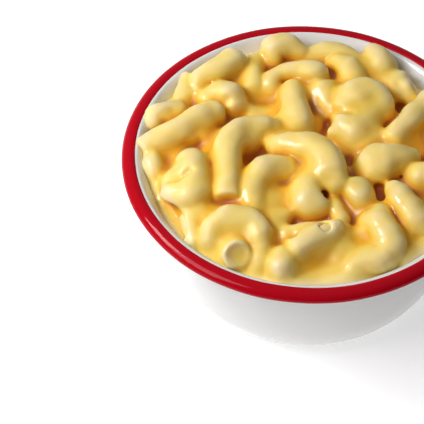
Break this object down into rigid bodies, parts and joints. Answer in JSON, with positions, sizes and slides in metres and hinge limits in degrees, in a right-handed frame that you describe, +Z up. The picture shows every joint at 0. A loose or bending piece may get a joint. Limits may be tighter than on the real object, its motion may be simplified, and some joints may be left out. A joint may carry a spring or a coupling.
{
  "type": "macaroni and cheese in a bowl",
  "caption": "Round enamelled bowl with a red rolled edge, heaped with elbow macaroni in cheese sauce.",
  "frame": {"origin": "on the table, under the middle of the bowl", "axes": "+Z up, along the bowl's axis of turning; -Y is the side nearest the viewer"},
  "size_m": [0.1198, 0.1198, 0.0598],
  "materials": {
    "white_enamel": "gloss",
    "red_enamel": "gloss",
    "cheese_sauce": "gloss"
  },
  "bodies": {
    "root": {"bowl": "white_enamel", "rolled_edge": "red_enamel", "macaroni_in_cheese_sauce": "cheese_sauce"}
  },
  "joints": []
}
